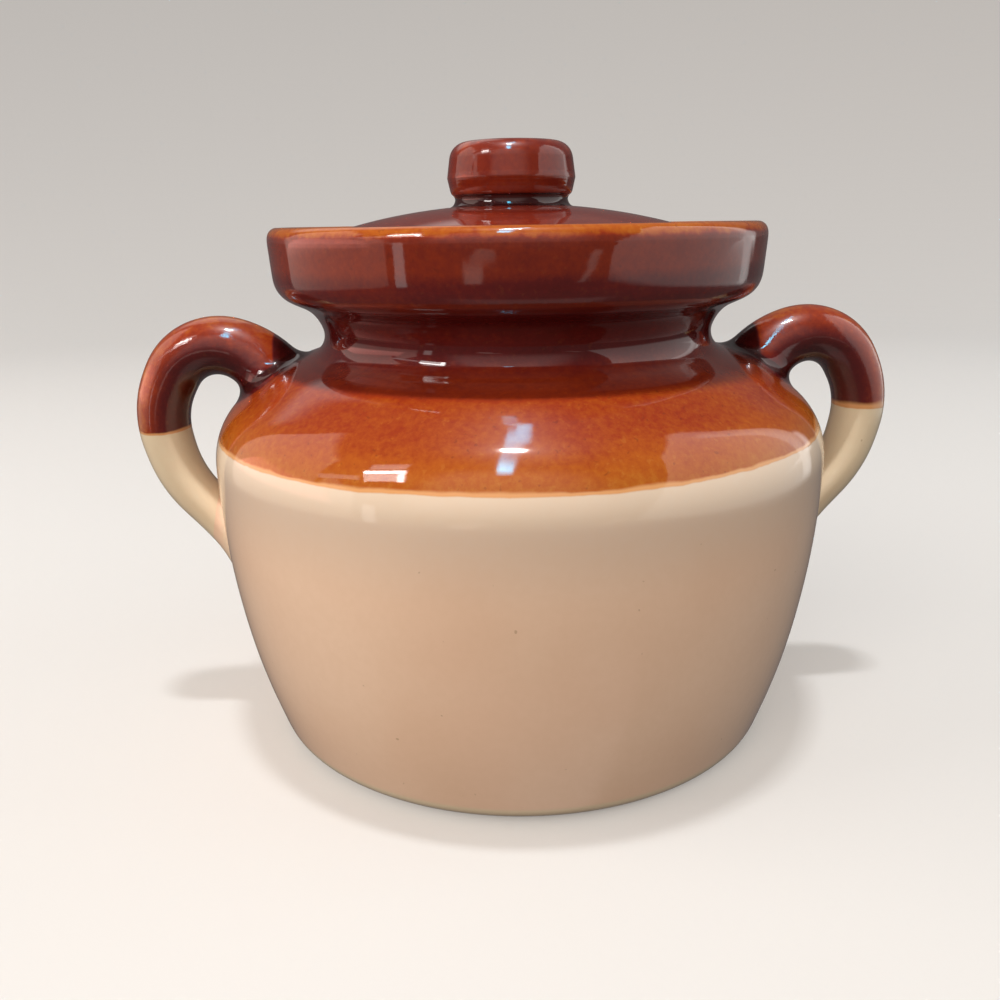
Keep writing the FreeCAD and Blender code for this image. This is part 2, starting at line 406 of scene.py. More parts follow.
def rounded_outline(corners, step=drawn_step):
    """Closely spaced points through corners (x, z, rounding), with a tangent arc at each."""
    points = []
    here = np.array(corners[0][:2], float)
    for i in range(1, len(corners) - 1):
        point = np.array(corners[i][:2], float)
        radius = corners[i][2]
        back, ahead = directions(corners, i)
        half_turn = (math.pi - math.acos(np.clip(back @ ahead, -1, 1))) / 2
        reach = radius * math.tan(half_turn)
        start = point + back * reach
        points += straight(here, start, step)
        centre = point + (back + ahead) / np.hypot(*(back + ahead)) * radius / math.cos(half_turn)
        spoke = start - centre
        turn = math.copysign(2 * half_turn, back[1] * ahead[0] - back[0] * ahead[1])
        count = max(2, round(radius * 2 * half_turn / step))
        for j in range(count):
            angle = turn * j / count
            cosine, sine = math.cos(angle), math.sin(angle)
            points.append(centre + (spoke[0] * cosine - spoke[1] * sine, spoke[0] * sine + spoke[1] * cosine))
        here = point + ahead * reach
    last = np.array(corners[-1][:2], float)
    return np.array(points + straight(here, last, step) + [last])


def softened(points, passes=body_softening):
    """The outline with its changes of curvature eased. Its two ends stay."""
    points = points.copy()
    for _ in range(passes):
        points[1:-1] = (points[:-2] + 2 * points[1:-1] + points[2:]) / 4
    return points


def bending(points):
    """How sharply the outline turns at each point, in 1/mm. Above 0 on edges, below in hollows."""
    along = np.gradient(points, axis=0)
    angle = np.unwrap(np.arctan2(along[:, 1], along[:, 0]))
    return np.gradient(angle) / np.maximum(np.hypot(*along.T), tiny)


def thinned(points):
    """Indices of the points worth keeping: close together only where the outline bends."""
    steps = np.hypot(*np.diff(points, axis=0).T)
    turns = np.abs(bending(points))[1:] * steps
    kept = [0]
    cost = 0.0
    for i, (step, turn) in enumerate(zip(steps, turns), start=1):
        cost += step / longest_step + turn / largest_turn
        if cost >= 1:
            kept.append(i)
            cost = 0.0
    if kept[-1] != len(points) - 1:
        kept.append(len(points) - 1)
    return kept


def pot_outside_corners():
    """The pot's outside, from the foot up to the rim."""
    return [
        (foot_radius, 0, foot_rounding),
        (flare_radius, flare_height, flare_rounding),
        (belly_radius, belly_height, belly_rounding),
        (belly_radius, shoulder_height, shoulder_rounding),
        (crest_radius, crest_height, crest_rounding),
        (neck_radius, neck_height, neck_rounding),
        (cove_radius, cove_height, cove_rounding),
        (collar_radius, collar_height, collar_rounding),
        (rim_radius, rim_height, rim_rounding),
    ]


def moved_inwards(start, end):
    """The line from start to end, moved by the wall's thickness towards the inside."""
    along = (np.array(end) - start) / math.dist(start, end)
    shift = np.array([-along[1], along[0]]) * wall
    return start + shift, end + shift


def crossing(first, second):
    """Where two lines cross, each given by two of its points."""
    start, along = first[0], first[1] - first[0]
    across = second[1] - second[0]
    gap = second[0] - start
    share = (gap[0] * across[1] - gap[1] * across[0]) / (along[0] * across[1] - along[1] * across[0])
    return tuple(start + along * share)


def pot_inside_corners():
    """The pot's inside, from the floor up to the throat."""
    outside = [corner[:2] for corner in pot_outside_corners()]
    floor = (np.array([0, base_thickness]), np.array([belly_radius, base_thickness]))
    throat = (np.array([throat_radius, 0]), np.array([throat_radius, rim_height]))
    walls = [moved_inwards(a, b) for a, b in zip(outside[:5], outside[1:6])]
    lines = [floor] + walls + [throat]
    roundings = [
        floor_rounding,
        inner_flare_rounding,
        belly_rounding - wall,
        shoulder_rounding - wall,
        crest_rounding - wall,
        throat_rounding,
    ]
    return [crossing(a, b) + (r,) for a, b, r in zip(lines, lines[1:], roundings)]


def pot_outline():
    """Once round the pot's section: underside, outside, rim, recess and inside."""
    ring_inner = foot_radius - standing_ring_width
    underside = [
        (0, standing_ring_depth, 0),
        (ring_inner - standing_ring_slope, standing_ring_depth, standing_ring_slope),
        (ring_inner, 0, standing_ring_depth),
    ]
    recess = [
        (recess_radius, rim_height, rim_inner_rounding),
        (recess_radius - recess_taper, seat_height, seat_corner_rounding),
        (throat_radius, seat_height, throat_edge_rounding),
    ]
    inside = list(reversed(pot_inside_corners()))
    return rounded_outline(underside + pot_outside_corners() + recess + inside + [(0, base_thickness, 0)])


def dome_corner(radius, base_height, rise):
    """The one corner whose arc makes a dome of this radius and rise."""
    reach = (radius**2 + rise**2) / (2 * radius)
    rounding = (radius**2 + rise**2) / (2 * rise) * dome_share
    return (reach, base_height + rise, rounding)


def lid_outline():
    """From the hollow underside, out over the bearing ring and back up to the crown."""
    bearing_inner = lid_radius - bearing_width
    hollow_height = crown_height - lid_thickness
    corners = [
        (0, hollow_height, 0),
        dome_corner(bearing_inner, seat_height, hollow_height - seat_height),
        (bearing_inner, seat_height, lid_inner_rounding),
        (lid_radius, seat_height, lid_edge_rounding),
        (lid_radius, lid_edge_height, lid_edge_rounding),
        dome_corner(lid_radius, lid_edge_height, crown_height - lid_edge_height),
        (0, crown_height, 0),
    ]
    return rounded_outline(corners)


def dome_height(radius):
    """The height of the lid's dome at this distance from its middle."""
    rise = crown_height - lid_edge_height
    sphere = (lid_radius**2 + rise**2) / (2 * rise) * dome_share
    return crown_height - sphere + math.sqrt(sphere**2 - radius**2)


def knob_outline():
    """From inside the dome, out along the glaze that fills the corner, and up over the button."""
    edge = knob_foot_radius + knob_fillet
    corners = [
        (0, dome_height(0) - knob_foot_depth, 0),
        (knob_foot_radius, dome_height(knob_foot_radius) - knob_foot_depth, knob_edge_rounding),
        (edge, dome_height(edge) - skirt, knob_skirt_rounding),
        (knob_foot_radius, dome_height(knob_foot_radius) + knob_fillet_height, knob_foot_rounding),
        (knob_waist_radius, knob_waist_height, knob_waist_rounding),
        (knob_base_radius, knob_base_height, knob_base_rounding),
        (knob_lip_radius, knob_lip_height, knob_lip_rounding),
        (knob_top_radius, knob_crown_height - knob_crown, knob_top_rounding),
        (0, knob_crown_height, 0),
    ]
    return rounded_outline(corners)


# ==== Meshes ====


def select_none():
    for obj in bpy.context.selected_objects:
        obj.select_set(False)


def select_all():
    bpy.ops.mesh.select_all(action="SELECT")


def start_piece(name):
    """Names the primitive that was just added, and opens it for editing."""
    obj = bpy.context.active_object
    obj.name = obj.data.name = name
    bpy.ops.object.mode_set(mode="EDIT")
    select_all()
    return obj


def closed_and_smooth():
    """Points the faces outwards, leaves edit mode and shades the piece smooth."""
    select_all()
    bpy.ops.mesh.normals_make_consistent(inside=False)
    bpy.ops.object.mode_set(mode="OBJECT")
    bpy.ops.object.transform_apply(location=True, rotation=True, scale=True)
    bpy.ops.object.shade_smooth()


def set_attribute(obj, name, values):
    """Stores a number for each vertex, or one number for all."""
    attribute = obj.data.attributes.new(name, "FLOAT", "POINT")
    attribute.data.foreach_set("value", np.full(len(attribute.data), values, np.float32))


def corner_positions(obj):
    """The mesh's vertices in millimetres."""
    flat = np.zeros(len(obj.data.vertices) * 3, np.float32)
    obj.data.vertices.foreach_get("co", flat)
    return flat.reshape(-1, 3).astype(float) / mm


def draw_and_spin(drawn, axis_x, steps):
    """Merges the open piece to one point, draws the outline from it and spins it about Z."""
    bpy.ops.mesh.merge(type="CENTER")
    for before, after in zip(drawn, drawn[1:]):
        step = ((after[0] - before[0]) * mm, 0, (after[1] - before[1]) * mm)
        bpy.ops.mesh.extrude_region_move(TRANSFORM_OT_translate={"value": step})
    select_all()
    bpy.ops.mesh.spin(steps=steps, angle=math.tau, center=(axis_x * mm, 0, 0), axis=(0, 0, 1))
    select_all()
    bpy.ops.mesh.remove_doubles(threshold=merge_distance * mm)


def turned_piece(name, outline, axis_x=0.0, passes=body_softening):
    """Draws an outline point by point and spins it about Z.

    Returns it with its vertices' shares of the outline, distances from the axis and heights.
    """
    points = softened(outline, passes)
    bend = bending(points)
    kept = thinned(points)
    drawn = points[kept]
    select_none()
    start = ((drawn[0][0] + axis_x) * mm, 0, drawn[0][1] * mm)
    bpy.ops.mesh.primitive_plane_add(size=mm, location=start)
    obj = start_piece(name)
    draw_and_spin(drawn, axis_x, turned_steps)
    closed_and_smooth()
    place = corner_positions(obj)
    radius, height = np.hypot(place[:, 0] - axis_x, place[:, 1]), place[:, 2]
    nearest = nearest_points(np.column_stack([radius, height]), drawn)
    set_attribute(obj, "relief", bend[kept][nearest])
    return obj, np.array(kept)[nearest] / (len(points) - 1), radius, height


def nearest_points(places, drawn):
    """For each place, the index of the nearest drawn point."""
    found = np.zeros(len(places), int)
    for first in range(0, len(places), batch):
        part = places[first : first + batch]
        gaps = (part[:, None, :] - drawn[None]) ** 2
        found[first : first + batch] = gaps.sum(axis=2).argmin(axis=1)
    return found


def uneven_surface(obj):
    """Sinks the surface unevenly, by up to about a tenth of a millimetre, as thrown clay is."""
    place = corner_positions(obj)
    flat = np.zeros(len(place) * 3, np.float32)
    obj.data.vertex_normals.foreach_get("vector", flat)
    normals = flat.reshape(-1, 3)
    for i, spot in enumerate(place):
        broad = noise.noise(Vector(spot / broad_waves))
        fine = noise.noise(Vector(spot / fine_waves))
        standing = min(1.0, max(0.0, (spot[2] - even_height) / uneven_rise))
        depth = glaze_unevenness * (0.5 + broad_share * broad + fine_share * fine) * standing
        place[i] = spot - normals[i] * depth
    obj.data.vertices.foreach_set("co", (place * mm).ravel())
    obj.data.update()


# ==== Handles ====


def limb_corners():
    """The corners of the handle's centre line, from inside the shoulder to inside the belly."""
    corner = np.array([belly_radius, root_height])
    slope = np.array([neck_radius, neck_height]) - corner
    slope /= np.hypot(*slope)
    square = np.array([slope[1], -slope[0]])
    tail_height = root_height - tail_drop
    lean = (belly_radius - flare_radius) / (belly_height - flare_height)
    side_radius = flare_radius + (tail_height - flare_height) * lean
    return [
        (*(corner + slope * root_reach - square * root_depth), 0),
        (*(corner + slope * rise_reach + square * rise_height), rise_rounding),
        (*(corner + slope * arch_reach + square * arch_height), arch_rounding),
        (belly_radius + tip_out, root_height - tip_drop, tip_rounding),
        (belly_radius + turn_out, root_height - turn_drop, turn_rounding),
        (side_radius - tail_depth, tail_height, 0),
    ]


def fading(amount, share):
    """An amount that fades to nothing as its share of the way goes from 0 to 1."""
    return amount * np.maximum(0, 1 - share) ** 2


class Limb:
    """The handle's own surface: points on it by their share of its length and their angle."""

    def __init__(self):
        self.line = softened(rounded_outline(limb_corners()))
        steps = np.hypot(*np.diff(self.line, axis=0).T)
        self.run = np.concatenate([[0], np.cumsum(steps)])
        self.length = self.run[-1]
        along = np.gradient(self.line, axis=0)
        self.along = along / np.hypot(*along.T)[:, None]

    def at(self, share, angle):
        """A point on the limb and its outward direction."""
        run = share * self.length
        centre = np.array([np.interp(run, self.run, self.line[:, i]) for i in (0, 1)])
        along = np.array([np.interp(run, self.run, self.along[:, i]) for i in (0, 1)])
        at_root = run / flare_length
        at_tail = (self.length - run) / flare_length
        swell = fading(root_swell, at_root) + fading(tail_swell, at_tail)
        spread = fading(root_spread, at_root) + fading(tail_swell, at_tail)
        half_thick = (root_thickness + share * (tail_thickness - root_thickness)) / 2 + swell
        half_wide = (root_width + share * (tail_width - root_width)) / 2 + spread
        cosine, sine = np.cos(angle), np.sin(angle)
        back = np.array([-along[1], along[0]])
        up = back * sine * half_thick
        point = np.array([centre[0] + up[0], cosine * half_wide, centre[1] + up[1]])
        outward = np.array([back[0] * sine / half_thick, cosine / half_wide, back[1] * sine / half_thick])
        return point, outward / np.linalg.norm(outward)


class PotSurface:
    """The pot's outside, as a height above it and a direction square to it."""

    def __init__(self):
        corners = [(0, 0, 0)] + pot_outside_corners()[:7] + [(collar_radius, collar_height, 0)]
        self.outline = softened(rounded_outline(corners))
        along = np.gradient(self.outline, axis=0)
        along /= np.hypot(*along.T)[:, None]
        self.square = np.column_stack([along[:, 1], -along[:, 0]])

    def above(self, point):
        """The height above the surface and the direction away from it."""
        radius = math.hypot(point[0], point[1])
        gaps = np.array([radius, point[2]]) - self.outline
        nearest = int((gaps**2).sum(axis=1).argmin())
        square = self.square[nearest]
        height = float(gaps[nearest] @ square)
        outward = np.array([square[0] * point[0] / radius, square[0] * point[1] / radius, square[1]])
        return height, outward


def limb_share_at_height(limb, pot, angle, height, inner):
    """The share of the limb's length, between an end and the middle, that is this high above the pot."""
    outer = 0.5
    for _ in range(halvings):
        middle = (inner + outer) / 2
        if pot.above(limb.at(middle, angle)[0])[0] > height:
            outer = middle
        else:
            inner = middle
    return (inner + outer) / 2


def blended_point(limb, pot, angle, blend, climb, inner):
    """A point on the clay smoothed between pot and limb. Climb goes from 0 on the pot to 1 on the limb."""
    height = blend * climb**2
    share = limb_share_at_height(limb, pot, angle, height, inner)
    point, outward = limb.at(share, angle)
    square = pot.above(point)[1]
    lean = float(outward @ square)
    sideways = (outward - lean * square) / (1 - min(lean**2, steepest_lean))
    point = point + sideways * blend * (1 - climb) ** 2
    rise, square = pot.above(point)
    return point + square * (height - rise), share


def blend_size(angle, at_root):
    """How far the luted clay reaches: least in the acute corners between limb and pot."""
    sine = math.sin(angle)
    if at_root:
        return root_blend * (1 - root_squeeze * abs(sine))
    return tail_blend * (tail_middle + tail_swing * sine)


def limb_points(angle, limb, pot):
    """One line of points along the limb at this angle, from the shoulder to the belly."""
    ends = []
    for at_root in (True, False):
        blend = blend_size(angle, at_root)
        inner = 0.0 if at_root else 1.0
        rising = []
        for i in range(blend_rings + 1):
            climb = i / blend_rings
            point, share = blended_point(limb, pot, angle, blend, climb, inner)
            hollow = -hollow_relief * math.sin(math.pi * climb) ** 2
            rising.append((point, hollow))
        edge, before = rising[0][0], rising[1][0]
        outwards = (edge - before) / np.linalg.norm(edge - before)
        for reach, skirts in skirt_steps:
            point = edge + outwards * reach
            height, square = pot.above(point)
            rising.insert(0, (point - square * (height + skirts * skirt), 0.0))
        ends.append((rising, share))
    (start, first), (finish, last) = ends
    middle = []
    for i in range(1, limb_rings):
        share = first + (last - first) * i / limb_rings
        point = limb.at(share, angle)[0]
        # The inner side gets less relief than the outer, which keeps its coat darker: part of the painted
        # shade on the handles' inner sides.
        middle.append((point, limb_relief + limb_relief_swing * math.sin(angle)))
    return start + middle + list(reversed(finish))


def limb_side(angle):
    """From 0.4 on the handle's inner side to 1 on its outer side."""
    return side_middle + side_swing * math.sin(angle)


def ear_handle(name, lines, side):
    """The handle on the +X side (side 1) or the -X side (side -1), smoothed into the pot's clay."""
    rings = len(lines[0])
    select_none()
    bpy.ops.mesh.primitive_circle_add(vertices=limb_sides, radius=1, fill_type="NGON", location=(0, 0, 0))
    obj = start_piece(name)
    for _ in range(rings - 1):
        bpy.ops.mesh.extrude_region_move(TRANSFORM_OT_translate={"value": (0, 0, 1)})
    bpy.ops.object.mode_set(mode="OBJECT")
    relief, limb = [], []
    for vertex in obj.data.vertices:
        ring = round(vertex.co.z)
        turn = math.atan2(vertex.co.y, vertex.co.x) / math.tau * limb_sides
        point, bend = lines[round(turn) % limb_sides][ring]
        vertex.co = (side * point[0] * mm, point[1] * mm, point[2] * mm)
        relief.append(bend)
        limb.append(limb_side(turn / limb_sides * math.tau))
    set_attribute(obj, "relief", relief)
    set_attribute(obj, "limb", limb)
    bpy.ops.object.mode_set(mode="EDIT")
    closed_and_smooth()
    return obj


# ==== Pieces ====


def make_pot():
    pot, share, radius, height = turned_piece("stoneware_pot", pot_outline())
    outline = softened(pot_outline())
    rim = int(outline[:, 1].argmax()) / (len(outline) - 1)
    set_attribute(pot, "inside", share > rim + past_rim)
    on_ring = (height < ring_tolerance) & (radius > foot_radius - standing_ring_width)
    on_seat = abs(height - seat_height) < seat_tolerance
    on_seat &= (radius > throat_radius + seat_inner_margin) & (radius < recess_radius - seat_outer_margin)
    set_attribute(pot, "bare", on_ring | on_seat)
    set_attribute(pot, "limb", 0)
    return pot


def make_lid():
    lid, _, radius, height = turned_piece("domed_lid", lid_outline(), lid_shift)
    on_bearing = (height < seat_height + bearing_tolerance) & (radius > lid_radius - bearing_width)
    set_attribute(lid, "bare", on_bearing)
    return lid


def keep_glaze_thick(obj, under):
    """From a lip downwards the glaze stays thick, so the edges there are hardly thinned."""
    attribute = obj.data.attributes["relief"]
    relief = np.zeros(len(under), np.float32)
    attribute.data.foreach_get("value", relief)
    kept = np.where(under, np.minimum(relief, thick_relief), relief)
    attribute.data.foreach_set("value", kept.astype(np.float32))


def make_knob():
    knob, _, _, height = turned_piece("button_knob", knob_outline(), lid_shift, knob_softening)
    keep_glaze_thick(knob, height < knob_lip_height + knob_thick_margin)
    set_attribute(knob, "bare", 0)
    return knob


def make_handles():
    limb, pot = Limb(), PotSurface()
    lines = [limb_points(math.tau * i / limb_sides, limb, pot) for i in range(limb_sides)]
    handles = []
    for name, side in (("right_ear_handle", 1), ("left_ear_handle", -1)):
        handle = ear_handle(name, lines, side)
        set_attribute(handle, "bare", 0)
        set_attribute(handle, "inside", 0)
        handles.append(handle)
    return handles


# ==== Shader helpers ====


def add_node(tree, kind, inputs=(), **settings):
    """A new node with these settings, and with inputs given as pairs of a socket and a value."""
    made = tree.nodes.new("ShaderNode" + kind)
    for name, value in settings.items():
        setattr(made, name, value)
    for socket, value in inputs:
        feed(made, socket, value)
    return made


def feed(node, socket, value):
    """Links an output, or sets a plain value."""
    if isinstance(value, bpy.types.NodeSocket):
        node.id_data.links.new(value, node.inputs[socket])
    else:
        node.inputs[socket].default_value = value


def math_node(operation, first, second=0.0, third=0.0):
    """The result of one operation on two or three values, of which one at least is a socket."""
    values = (first, second, third)
    tree = next(value.id_data for value in values if isinstance(value, bpy.types.NodeSocket))
    return add_node(tree, "Math", enumerate(values), operation=operation).outputs[0]


def coordinates(tree, kind):
    return add_node(tree, "TexCoord").outputs[kind]


def parts_of(vector):
    """A vector's X, Y and Z."""
    return add_node(vector.id_data, "SeparateXYZ", [(0, vector)]).outputs


def product(first, second):
    return math_node("MULTIPLY", first, second)


def plus(value, added, times=1.0):
    """The value plus another, which counts this many times."""
    return math_node("MULTIPLY_ADD", added, times, value)


def rest_of(value):
    """What the value leaves of 1."""
    return math_node("SUBTRACT", 1.0, value)


def ramp(value, low, high, out_low=0.0, out_high=1.0, smooth=True):
    """The value carried from low..high to out_low..out_high, held at both ends."""
    kind = "SMOOTHSTEP" if smooth else "LINEAR"
    inputs = enumerate((value, low, high, out_low, out_high))
    return add_node(value.id_data, "MapRange", inputs, interpolation_type=kind).outputs[0]


def mixed(share, first, second):
    """The second colour over the first, by its share."""
    inputs = ((0, share), (6, first), (7, second))  # 6 and 7 are the colour sockets
    return add_node(share.id_data, "Mix", inputs, data_type="RGBA").outputs[2]


def shaded(value, stops):
    """The colour at this value, between stops of a position and a colour."""
    made = add_node(value.id_data, "ValToRGB", [(0, value)])
    elements = made.color_ramp.elements
    elements[0].color = stops[0][1]
    elements[1].color = stops[-1][1]
    for position, shade in stops[1:-1]:
        elements.new(position).color = shade
    return made.outputs["Color"]


def noise_at(vector, wavelength, detail, roughness=0.5):
    """Noise whose patches are about this many millimetres across, from 0 to 1."""
    scale = 1 / (wavelength * mm)
    inputs = {"Vector": vector, "Scale": scale, "Detail": detail, "Roughness": roughness}
    return add_node(vector.id_data, "TexNoise", inputs.items()).outputs["Fac"]


def swing_at(vector, wavelength, detail, roughness=0.5):
    """The same noise, from -0.5 to 0.5."""
    return math_node("SUBTRACT", noise_at(vector, wavelength, detail, roughness), 0.5)


def new_group(name, inputs, outputs):
    """A shader node group with its sockets, and its input and output nodes."""
    tree = bpy.data.node_groups.new(name, "ShaderNodeTree")
    for label in inputs:
        tree.interface.new_socket(label, in_out="INPUT", socket_type="NodeSocketFloat")
    for label in outputs:
        kind = "NodeSocketColor" if label == "Color" else "NodeSocketFloat"
        tree.interface.new_socket(label, in_out="OUTPUT", socket_type=kind)
    taken = tree.nodes.new("NodeGroupInput").outputs
    given = tree.nodes.new("NodeGroupOutput")
    where = coordinates(tree, "Object")
    return tree, taken, given, where


def new_material(name):
    material = bpy.data.materials.new(name)
    material.use_nodes = True
    return material, material.node_tree


def place_group(tree, group, **inputs):
    """The outputs of a group that is fed these values."""
    return add_node(tree, "Group", inputs.items(), node_tree=group).outputs


# ==== Glazes ====


def brown_glaze_group():
    """Red-brown glaze: dark where it pools, amber where it runs thin off an edge."""
    tree, taken, given, where = new_group("Red-brown glaze", ["Relief", "Thinness"], ["Color", "Height"])
    relief = taken["Relief"]
    edges = plus(relief, swing_at(where, *ragged_noise), edge_raggedness)
    edges = plus(edges, swing_at(where, *patch_noise), edge_patchiness)
    mottle = swing_at(where, *mottle_noise)
    thin = plus(flat_thinness, ramp(edges, *edge_bend), edge_thinness)
    thin = plus(thin, ramp(relief, *hollow_bend), hollow_thinness)
    thin = plus(thin, ramp(relief, *pool_bend), pool_thinness)
    thin = plus(thin, taken["Thinness"])
    broken = ramp(thin, *broken_span, *mottling)
    thin = plus(thin, swing_at(where, *cloud_noise), cloudiness)
    thin = plus(thin, mottle, broken)
    dark_specks = ramp(noise_at(where, *dark_speck_noise), *dark_speck_span, 0.0, dark_speck_share)
    pale_specks = ramp(noise_at(where, *pale_speck_noise), *pale_speck_span)
    pale_specks = product(pale_specks, ramp(thin, *pale_speck_thinness, *pale_speck_share))
    tint = mixed(dark_specks, shaded(thin, brown_shades), dark_speck)
    feed(given, "Color", mixed(pale_specks, tint, pale_speck))
    feed(given, "Height", product(mottle, mottle_height))
    return tree


def clear_glaze_group():
    """Clear glaze over cream clay, with the odd iron speck.

    It is yellower on the limbs and where it pools. Near the dip line it is greyer: painted cool light on the
    top of the belly.
    """
    tree, taken, given, where = new_group("Clear glaze on cream clay", ["Relief"], ["Color", "Height"])
    on_limb = ramp(taken["Relief"], *limb_bend, 0.0, limb_yellow)
    pooled = ramp(taken["Relief"], *cream_pool_bend, 0.0, pool_yellow)
    clouds = ramp(noise_at(where, *clay_noise), *patchy)
    fine = ramp(noise_at(where, *fine_noise), *patchy)
    parts = parts_of(where)
    tint = mixed(clouds, cream, pale_cream)
    # Painted cool light: greyer towards the dip line.
    tint = mixed(ramp(parts["Z"], *cool_light_heights), tint, painted_cool_light_cream)
    tint = mixed(math_node("MAXIMUM", on_limb, pooled), tint, yellow_cream)
    tint = mixed(product(fine, toasting), tint, toasted_cream)
    specks = ramp(noise_at(where, *iron_speck_noise), *iron_speck_span, 0.0, iron_speck_share)
    feed(given, "Color", mixed(specks, tint, iron_speck))
    feed(given, "Height", product(fine, cream_height))
    return tree


def height_above_dip(parts, where):
    """The height above the hand-dipped line, in millimetres."""
    height = plus(-dip_height, parts["Z"], 1 / mm)
    height = plus(height, parts["X"], -dip_tilt / mm)
    height = plus(height, swing_at(where, *wave_noise), dip_waves)
    return plus(height, swing_at(where, *dip_ripple_noise), dip_ripples)


def border_width_at(parts, where, limb):
    """The width of the ochre border, which is wider on the right handle."""
    width = plus(least_border, noise_at(where, *border_noise), border_width)
    return plus(width, ramp(parts["X"], *wiped_span, 0.0, wiped_border), limb)


def coat_thickness_and_shade(parts, height, limb):
    """How much thicker and darker the brown coat is made: on the neck partly a darker glaze, and otherwise
    painted shadow and shade from the collar.
    """
    across = product(parts["Y"], parts["Y"])
    radius = math_node("SQRT", plus(across, parts["X"], parts["X"]))
    # Near the neck the handles' roots take a painted shadow of the collar.
    on_limb = product(limb, ramp(radius, *collar_shadow_root_edge))
    # Painted shadow along the edge of the collar's shadow on the shoulder; from the neck up, partly a darker
    # glaze and partly painted shade.
    thick = ramp(height, *collar_shadow_span, 0.0, collar_shadow_coat)
    thick = plus(ramp(height, *neck_glaze_and_shade_span, 0.0, neck_glaze_and_shade_coat), thick)
    thick = product(thick, rest_of(on_limb))
    thick = plus(thick, math_node("SUBTRACT", limb, on_limb), painted_root_shadow)
    # High on the collar the coat is lightened, which leaves painted half-shadow on its lower edge.
    return math_node("SUBTRACT", thick, ramp(height, *collar_light_span, 0.0, painted_collar_light))


def dip_line_group():
    """Where the brown glaze lies: above a hand-dipped line, with a thin ochre border along it.

    Just above the line the coat is thin. Along the edge of the collar's shadow on the shoulder it darkens:
    painted shadow. From the neck up it is darker again, partly a darker glaze and partly painted shade
    under the collar. High on the collar it is a little lighter, which leaves painted half-shadow on the
    collar's lower edge. Limb is 0 on the pot, and on a handle it goes from 0.4 on the inner side, which is
    darkened with painted shade, to 1 on the outer side. Where the handle leaves the shoulder it is dark
    all round: a painted shadow of the collar.
    """
    outputs = ["Brown", "Border", "Thinness"]
    tree, taken, given, where = new_group("Dip line", ["Inside", "Limb"], outputs)
    inside, limb = taken["Inside"], taken["Limb"]
    parts = parts_of(where)
    height = height_above_dip(parts, where)
    outside = rest_of(inside)
    share = math_node("DIVIDE", height, border_width_at(parts, where, limb))
    rim = ramp(share, *border_fade, 1.0, 0.0)
    brown = ramp(height, *dip_softness)
    feed(given, "Brown", math_node("MAXIMUM", brown, inside))
    feed(given, "Border", product(rim, outside))
    fresh = ramp(height, 0.0, fresh_height, fresh_thinness, 0.0)
    fresh = product(fresh, ramp(limb, *limb_start, 1.0, fresh_on_limb))
    # Painted shade on the handles' inner sides.
    under = ramp(limb, *inner_shade_span, inner_shade_thinness, 0.0)
    under = product(under, ramp(limb, *limb_start))
    thinness = plus(under, fresh, outside)
    thick = coat_thickness_and_shade(parts, height, limb)
    feed(given, "Thinness", math_node("SUBTRACT", thinness, thick))
    return tree


def bare_clay_group():
    """Unglazed stoneware, where the kiln shelf or the lid's seat was wiped clean."""
    tree, _, given, where = new_group("Bare clay", [], ["Color", "Height"])
    grain = noise_at(where, *grain_noise)
    feed(given, "Color", mixed(ramp(grain, *patchy), bare_clay, pale_bare_clay))
    feed(given, "Height", grain)
    return tree


def attribute(tree, name):
    return add_node(tree, "Attribute", attribute_name=name).outputs["Fac"]


def dipped_coat(tree, groups, relief):
    """The colour and height of brown glaze above the dip line, and of clear glaze below it."""
    line = place_group(tree, groups["dip"], Inside=attribute(tree, "inside"), Limb=attribute(tree, "limb"))
    brown = place_group(tree, groups["brown"], Relief=relief, Thinness=line["Thinness"])
    edged = mixed(line["Border"], brown["Color"], ochre)
    clear = place_group(tree, groups["clear"], Relief=relief)
    return mixed(line["Brown"], clear["Color"], edged), plus(brown["Height"], line["Brown"])


def brown_coat(tree, groups, relief):
    """The colour and height of the lid's brown glaze."""
    brown = place_group(tree, groups["brown"], Relief=relief, Thinness=lid_thinness)
    return brown["Color"], brown["Height"]


def glazed_material(name, groups, coat):
    """Glossy stoneware under this coat, pebbled a little on rounded edges and bare where it was wiped."""
    material, tree = new_material(name)
    shader = tree.nodes["Principled BSDF"]
    where = coordinates(tree, "Object")
    bare = ramp(attribute(tree, "bare"), *bare_span)
    relief = attribute(tree, "relief")
    tint, height = coat(tree, groups, relief)
    clay = place_group(tree, groups["bare"])
    pebbled = product(ramp(relief, *pebbled_from), ramp(relief, *pebbled_until))
    height = plus(height, product(clay["Height"], bare), grain_height)
    height = plus(height, noise_at(where, *ripple_noise), ripple_height)
    height = plus(height, product(noise_at(where, *pebble_noise), pebbled), pebble_height)
    inputs = {"Strength": bump_strength, "Distance": bump_distance * mm, "Height": height}
    bump = add_node(tree, "Bump", inputs.items())
    smears = ramp(noise_at(where, *smear_noise), *smear_span, *glaze_roughness)
    roughness = math_node("MAXIMUM", smears, product(bare, bare_roughness))
    feed(shader, "Base Color", mixed(bare, tint, clay["Color"]))
    feed(shader, "Roughness", roughness)
    feed(shader, "Coat Weight", plus(coat_weight, pebbled, pebbled_coat))
    feed(shader, "Normal", bump.outputs["Normal"])
    feed(shader, "IOR", glaze_ior)
    feed(shader, "Coat Roughness", coat_roughness)
    return material


# ==== Studio ====


def from_pot(azimuth, elevation, distance):
    """A place seen from the pot's neck. Azimuth 0 is in front of it and 90 to its right."""
    turn, tilt = math.radians(azimuth), math.radians(elevation)
    level = math.cos(tilt) * distance
    up = card_centre_height + math.sin(tilt) * distance
    return Vector((math.sin(turn) * level, -math.cos(turn) * level, up))


